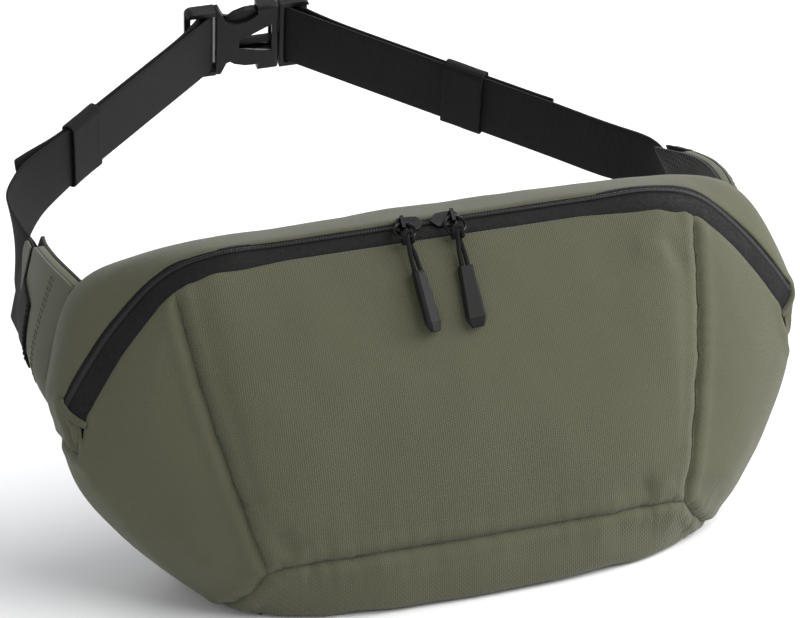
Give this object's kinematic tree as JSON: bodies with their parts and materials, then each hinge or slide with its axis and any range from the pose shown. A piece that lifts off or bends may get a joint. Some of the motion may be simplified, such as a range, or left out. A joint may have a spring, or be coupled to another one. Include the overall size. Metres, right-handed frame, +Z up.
{
  "type": "waist pack",
  "caption": "Soft waist pack with a curved top zip, two corded zip pulls, padded hip wings and a webbing belt with side-release buckle.",
  "frame": {"origin": "on the floor under the middle of the flat base, at the base mount", "axes": "+Z up, +Y back towards the wearer, +X to the right seen from the front; belt ring behind the bag"},
  "size_m": [0.399, 0.4044, 0.2179],
  "materials": {
    "woven_olive": "olive green polyester, fine dobby weave, matt",
    "smooth_olive": "olive green polyester, fine smooth weave, matt",
    "zip_tape": "black coated zip tape, slight sheen",
    "zip_coil": "black nylon coil",
    "webbing": "black polyester webbing with fine cross ribs",
    "ribbed_fabric": "black ribbed fabric",
    "air_mesh": "black spacer mesh with open holes",
    "foam": "soft grey foam",
    "lining": "thin black lining",
    "cord": "black braided cord",
    "moulded_black": "soft-touch moulded grip",
    "black_metal": "gunmetal black, satin",
    "buckle_plastic": "satin black acetal"
  },
  "bodies": {
    "bag": {"back_foam": "foam", "back_lining": "lining", "back_mesh": "air_mesh", "bottom_panel": "woven_olive", "buckle_socket": "buckle_plastic", "front_panel": "woven_olive", "left_side_panel": "smooth_olive", "left_strap": "webbing", "left_wing_end_panel": "ribbed_fabric", "left_wing_foam": "foam", "left_wing_mesh": "air_mesh", "left_wing_outer": "smooth_olive", "left_wing_tongue": "smooth_olive", "left_zip_end_tab": "smooth_olive", "rear_gusset": "smooth_olive", "right_side_panel": "smooth_olive", "right_strap": "webbing", "right_wing_end_panel": "ribbed_fabric", "right_wing_foam": "foam", "right_wing_mesh": "air_mesh", "right_wing_outer": "smooth_olive", "right_wing_tongue": "smooth_olive", "right_zip_end_tab": "smooth_olive", "zip_coil_front": "zip_coil", "zip_coil_rear": "zip_coil", "zip_tape_front": "zip_tape", "zip_tape_rear": "zip_tape"},
    "left_slider": {"left_slider": "black_metal"},
    "left_ring": {"left_pull_ring": "black_metal"},
    "left_pull": {"left_pull_cord": "cord", "left_pull_grip": "moulded_black"},
    "right_slider": {"right_slider": "black_metal"},
    "right_ring": {"right_pull_ring": "black_metal"},
    "right_pull": {"right_pull_cord": "cord", "right_pull_grip": "moulded_black"},
    "plug": {"buckle_plug": "buckle_plastic"},
    "upper_prong": {"prong_upper": "buckle_plastic"},
    "lower_prong": {"prong_lower": "buckle_plastic"},
    "left_keeper": {"left_keeper": "webbing"},
    "right_keeper": {"right_keeper": "webbing"}
  },
  "joints": [
    {"name": "left_slider_slide", "type": "slide", "parent": "bag", "child": "left_slider", "axis": [-1, 0, 0], "range_m": [0, 0.09]},
    {"name": "left_ring_tilt", "type": "hinge", "parent": "left_slider", "child": "left_ring", "pos_m": [-0.0174, -0.00461, 0.18197], "axis": [-1, 0, 0], "range_deg": [0, 40]},
    {"name": "left_pull_swing", "type": "hinge", "parent": "left_ring", "child": "left_pull", "pos_m": [-0.0174, -0.01385, 0.17721], "axis": [-1, 0, 0], "range_deg": [0, 125]},
    {"name": "right_slider_slide", "type": "slide", "parent": "bag", "child": "right_slider", "axis": [1, 0, 0], "range_m": [0, 0.098]},
    {"name": "right_ring_tilt", "type": "hinge", "parent": "right_slider", "child": "right_ring", "pos_m": [0.0082, -0.00461, 0.18197], "axis": [-1, 0, 0], "range_deg": [0, 40]},
    {"name": "right_pull_swing", "type": "hinge", "parent": "right_ring", "child": "right_pull", "pos_m": [0.0082, -0.0131, 0.17596], "axis": [-1, 0, 0], "range_deg": [0, 125]},
    {"name": "plug_slide", "type": "slide", "parent": "bag", "child": "plug", "axis": [1, 0, 0], "range_m": [0, 0.032], "deforming": ["right_strap"]},
    {"name": "upper_prong_press", "type": "hinge", "parent": "plug", "child": "upper_prong", "pos_m": [-0.0016, 0.3251, 0.20653], "axis": [0, -0.9272, -0.3746], "range_deg": [0, 8], "stiffness_Nm_per_rad": 0.3},
    {"name": "lower_prong_press", "type": "hinge", "parent": "plug", "child": "lower_prong", "pos_m": [-0.0016, 0.33409, 0.18427], "axis": [0, 0.9272, 0.3746], "range_deg": [0, 8], "stiffness_Nm_per_rad": 0.3},
    {"name": "left_keeper_slide", "type": "slide", "parent": "bag", "child": "left_keeper", "axis": [0.7495, 0.6137, 0.248], "range_m": [0, 0.02]},
    {"name": "right_keeper_slide", "type": "slide", "parent": "bag", "child": "right_keeper", "axis": [-0.7166, 0.6467, 0.2613], "range_m": [-0.01, 0.012]}
  ]
}
